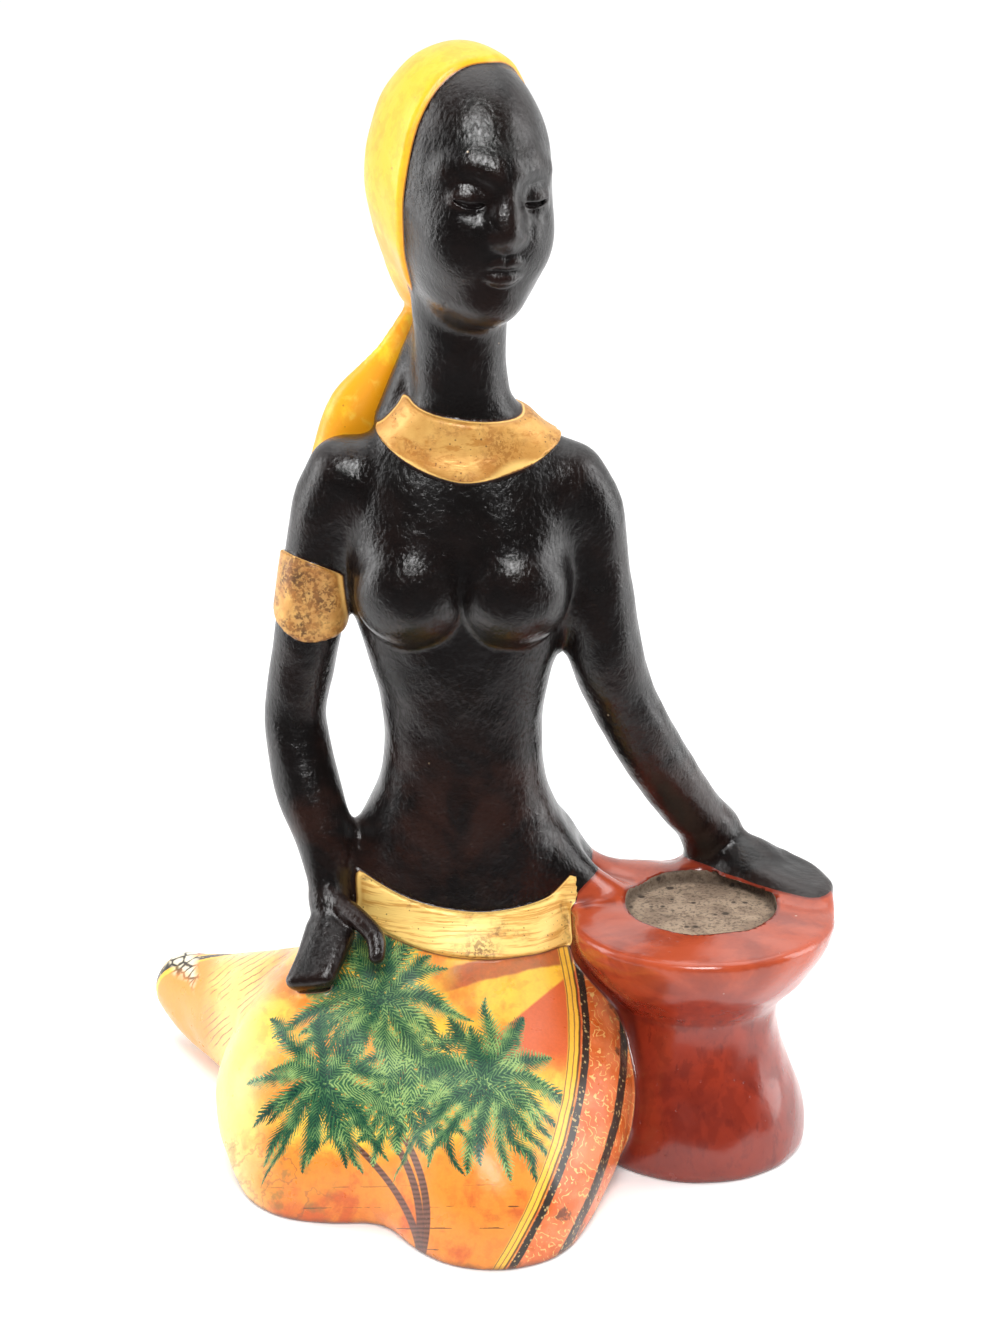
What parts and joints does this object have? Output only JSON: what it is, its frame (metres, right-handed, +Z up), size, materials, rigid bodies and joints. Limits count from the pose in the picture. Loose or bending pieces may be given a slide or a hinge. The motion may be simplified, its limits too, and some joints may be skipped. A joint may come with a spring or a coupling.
{
  "type": "figurine candle holder",
  "caption": "Seated woman in a wrapped skirt and head scarf, one hand on her thigh and the other on an hourglass drum whose top holds a tea light, cast in one piece.",
  "frame": {"origin": "centre of the underside of the bounding box, on the ground", "axes": "+Z up, -Y towards the viewer of the front, +X towards the drum under her left hand"},
  "size_m": [0.1878, 0.1424, 0.2899],
  "materials": {
    "painted_glaze": "gloss, painted near-black skin, yellow scarf, gold bands, printed orange and green skirt, red-brown drum"
  },
  "bodies": {
    "root": {"figurine": "painted_glaze"}
  },
  "joints": []
}
